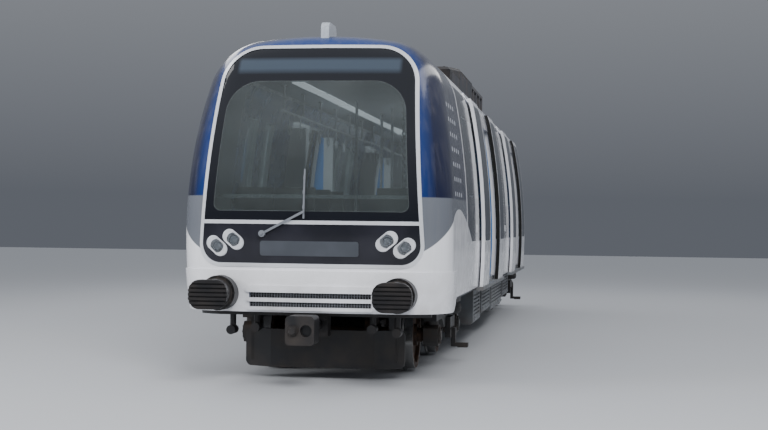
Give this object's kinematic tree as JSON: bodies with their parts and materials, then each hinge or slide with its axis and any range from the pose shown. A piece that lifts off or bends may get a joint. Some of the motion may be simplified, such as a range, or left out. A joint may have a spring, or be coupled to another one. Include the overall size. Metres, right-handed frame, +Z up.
{
  "type": "light metro lead car",
  "caption": "Driverless light metro lead car: rounded nose with large windscreen, open sliding doors, roof cooling unit, gangway end, two bogies with flanged wheelsets.",
  "frame": {"origin": "bottom centre of the bounding box, on the level of the wheel flange tips", "axes": "+Z up, the nose faces -Y and the gangway end +Y, +X is the side on the right of someone who faces the nose"},
  "size_m": [2.76, 15.833, 3.7278],
  "materials": {
    "white_enamel": "gloss",
    "window_glass": "smooth",
    "silver_trim": "satin",
    "black_panel": "gloss",
    "lamp_glass": "smooth",
    "grey_display": "satin",
    "dark_steel": "satin",
    "cast_steel": "rough",
    "grey_steel": "satin",
    "grey_floor": "matt",
    "white_lining": "satin",
    "bellows_rubber": "matt",
    "seat_shell": "satin",
    "blue_panel": "gloss",
    "dark_lining": "matt",
    "grey_antenna": "satin",
    "spring_rubber": "matt",
    "wheel_steel": "satin"
  },
  "bodies": {
    "car": {"nose_shell": "white_enamel", "front_apron": "white_enamel", "side_wall_left": "white_enamel", "side_wall_right": "white_enamel", "roof_shell": "white_enamel", "windscreen": "window_glass", "windscreen_frame": "silver_trim", "lamp_panel": "black_panel", "headlamp_lenses": "lamp_glass", "headlamp_bezels": "silver_trim", "display_panel": "grey_display", "wiper": "silver_trim", "buffer_beam": "dark_steel", "anticlimbers": "dark_steel", "coupler": "cast_steel", "obstacle_deflector": "grey_steel", "window_bands": "black_panel", "window_glass": "window_glass", "doors_left": "white_enamel", "doors_right": "white_enamel", "door_glass": "window_glass", "door_headers": "white_enamel", "door_rails": "grey_steel", "floor_deck": "grey_floor", "ceiling_lining": "white_lining", "rear_end_wall": "white_lining", "gangway_bellows": "bellows_rubber", "gangway_frame": "grey_steel", "roof_front_unit": "dark_steel", "air_conditioner": "dark_steel", "roof_frame_unit": "grey_steel", "roof_antenna": "grey_antenna", "equipment_cases": "grey_steel", "air_reservoir": "grey_steel", "seats": "seat_shell", "grab_rails": "silver_trim", "draught_screens": "blue_panel", "front_console": "dark_lining", "bolsters": "dark_steel"},
    "front_bogie": {"bogie_frame_front": "dark_steel", "axleboxes_front": "cast_steel", "air_springs_front": "spring_rubber"},
    "rear_bogie": {"bogie_frame_rear": "dark_steel", "axleboxes_rear": "cast_steel", "air_springs_rear": "spring_rubber"},
    "wheelset_1": {"wheelset_1": "wheel_steel"},
    "wheelset_2": {"wheelset_2": "wheel_steel"},
    "wheelset_3": {"wheelset_3": "wheel_steel"},
    "wheelset_4": {"wheelset_4": "wheel_steel"}
  },
  "joints": [
    {"name": "front_bogie_yaw", "type": "hinge", "parent": "car", "child": "front_bogie", "pos_m": [0, -4.6165, 0.383], "axis": [0, 0, 1], "range_deg": [-5, 5]},
    {"name": "rear_bogie_yaw", "type": "hinge", "parent": "car", "child": "rear_bogie", "pos_m": [0, 6.5335, 0.383], "axis": [0, 0, 1], "range_deg": [-5, 5]},
    {"name": "wheelset_1_spin", "type": "hinge", "parent": "front_bogie", "child": "wheelset_1", "pos_m": [0, -5.6165, 0.383], "axis": [1, 0, 0], "continuous": true},
    {"name": "wheelset_2_spin", "type": "hinge", "parent": "front_bogie", "child": "wheelset_2", "pos_m": [0, -3.6165, 0.383], "axis": [1, 0, 0], "continuous": true},
    {"name": "wheelset_3_spin", "type": "hinge", "parent": "rear_bogie", "child": "wheelset_3", "pos_m": [0, 5.5335, 0.383], "axis": [1, 0, 0], "continuous": true},
    {"name": "wheelset_4_spin", "type": "hinge", "parent": "rear_bogie", "child": "wheelset_4", "pos_m": [0, 7.5335, 0.383], "axis": [1, 0, 0], "continuous": true}
  ]
}
